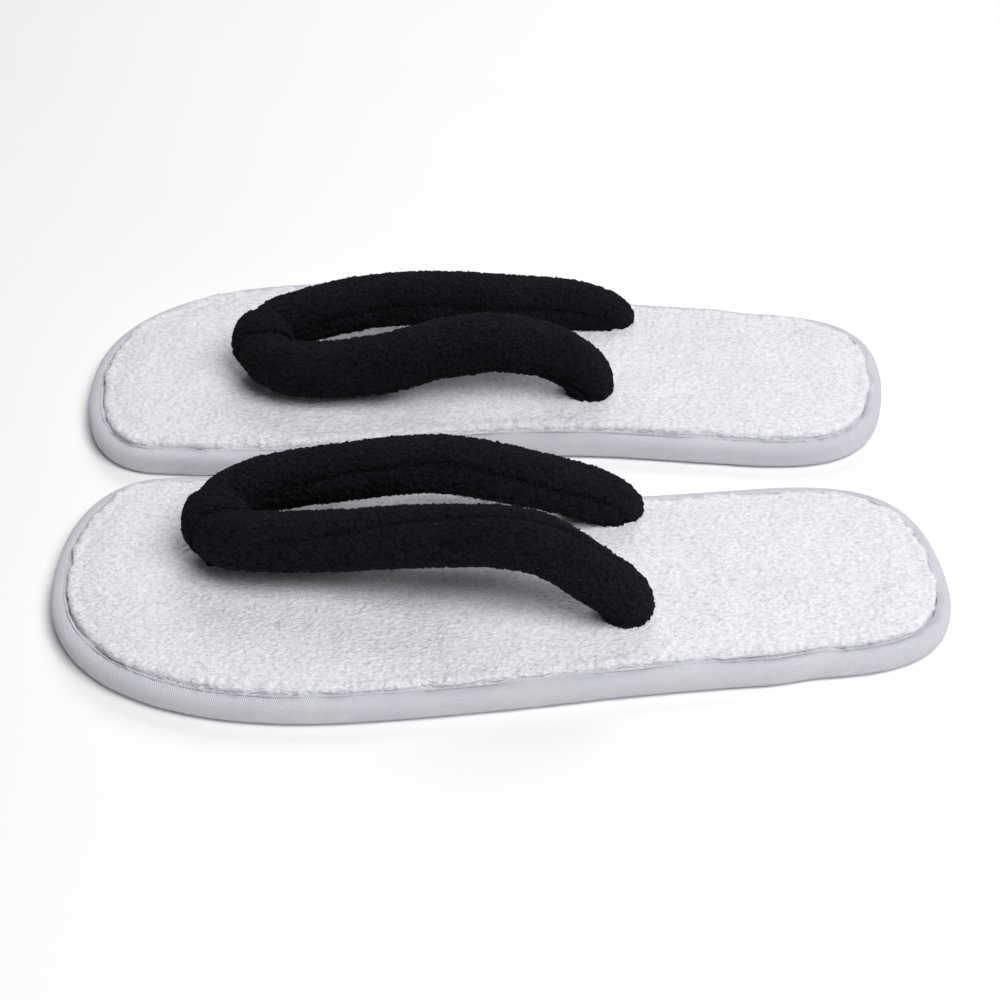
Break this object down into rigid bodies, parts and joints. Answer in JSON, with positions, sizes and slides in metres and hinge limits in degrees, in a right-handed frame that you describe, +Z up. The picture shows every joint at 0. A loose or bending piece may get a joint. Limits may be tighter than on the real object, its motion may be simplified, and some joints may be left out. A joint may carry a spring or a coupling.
{
  "type": "spa slippers",
  "caption": "Open-heeled spa slippers: soft fleece-topped soles with a bound edge and a padded terry thong strap on a toe loop.",
  "frame": {"origin": "on the floor, in the middle between the two slippers", "axes": "+X from the toes to the heels, +Y from the left slipper to the right slipper, +Z up"},
  "size_m": [0.291, 0.2182, 0.0497],
  "materials": {
    "eva_outsole": "matte, fine anti-slip relief",
    "insole_board": "plain",
    "midsole_foam": "matte soft foam",
    "white_fleece": "short plush pile",
    "white_twill_tape": "fine diagonal twill",
    "white_thread": "fine twisted thread",
    "black_terry": "short terry pile",
    "strap_foam": "soft foam cord",
    "black_thread": "heavy thread"
  },
  "bodies": {
    "left_slipper": {"left_outsole": "eva_outsole", "left_insole_board": "insole_board", "left_midsole_foam": "midsole_foam", "left_insole_cover": "white_fleece", "left_edge_binding": "white_twill_tape", "left_binding_thread": "white_thread", "left_strap_sleeve": "black_terry", "left_strap_core": "strap_foam", "left_toe_loop": "black_terry", "left_lateral_bartack": "black_thread", "left_medial_bartack": "black_thread", "left_toe_bartack": "black_thread"},
    "right_slipper": {"right_outsole": "eva_outsole", "right_insole_board": "insole_board", "right_midsole_foam": "midsole_foam", "right_insole_cover": "white_fleece", "right_edge_binding": "white_twill_tape", "right_binding_thread": "white_thread", "right_strap_sleeve": "black_terry", "right_strap_core": "strap_foam", "right_toe_loop": "black_terry", "right_lateral_bartack": "black_thread", "right_medial_bartack": "black_thread", "right_toe_bartack": "black_thread"}
  },
  "joints": [
    {"name": "right_slipper_lift", "type": "slide", "parent": "left_slipper", "child": "right_slipper", "axis": [0, 0, 1], "range_m": [0, 0.15]}
  ]
}
